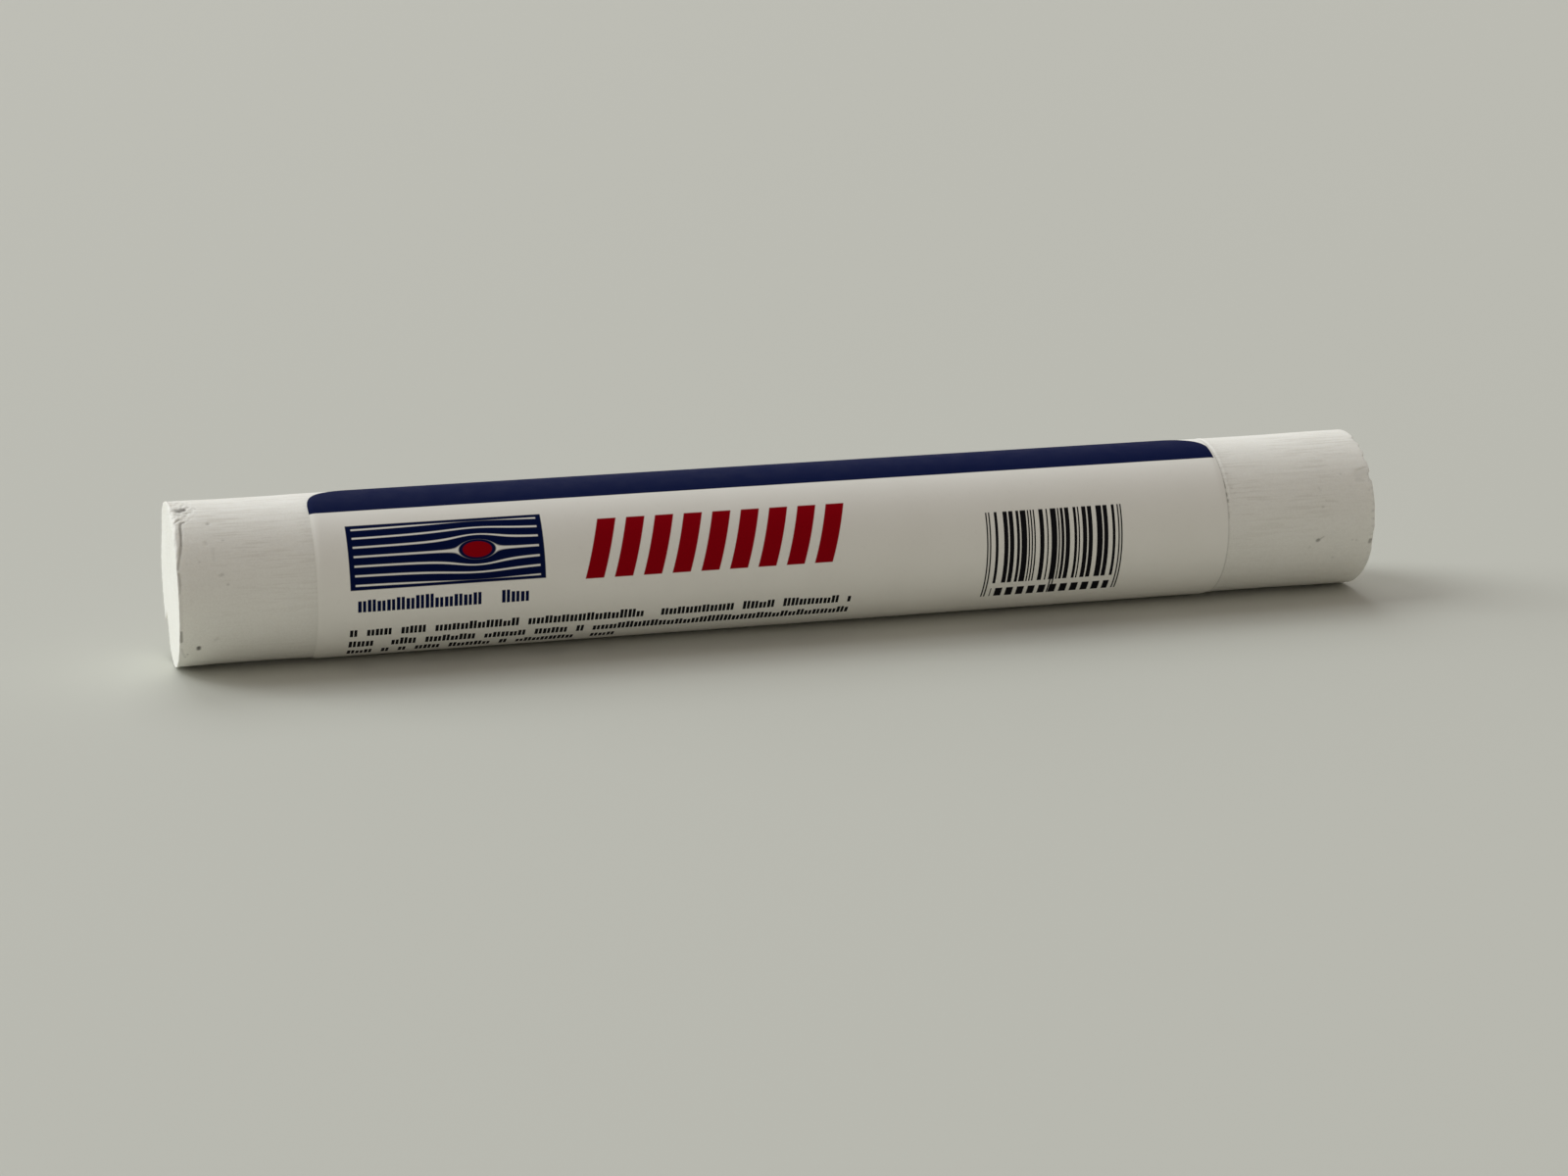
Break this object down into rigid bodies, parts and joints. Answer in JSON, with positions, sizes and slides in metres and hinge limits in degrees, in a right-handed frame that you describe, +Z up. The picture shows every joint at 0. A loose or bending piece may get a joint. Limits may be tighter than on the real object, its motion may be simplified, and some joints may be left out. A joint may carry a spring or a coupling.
{
  "type": "furniture repair wax stick",
  "caption": "Round stick of hard white filling wax, bare at both ends, with a die-cut printed film label wrapped round its middle.",
  "frame": {"origin": "middle of the stick's length, on the floor under it", "axes": "+X along the stick from its trimmed end to its worn end, +Y towards the bare seam side at the back, +Z up"},
  "size_m": [0.0974, 0.0128, 0.0129],
  "materials": {
    "wax": "dull hard wax, off-white, with fine drag lines along the stick",
    "printed_film": "satin white film with navy, red and black print"
  },
  "bodies": {
    "root": {"wax_stick": "wax", "wrap_label": "printed_film"}
  },
  "joints": []
}
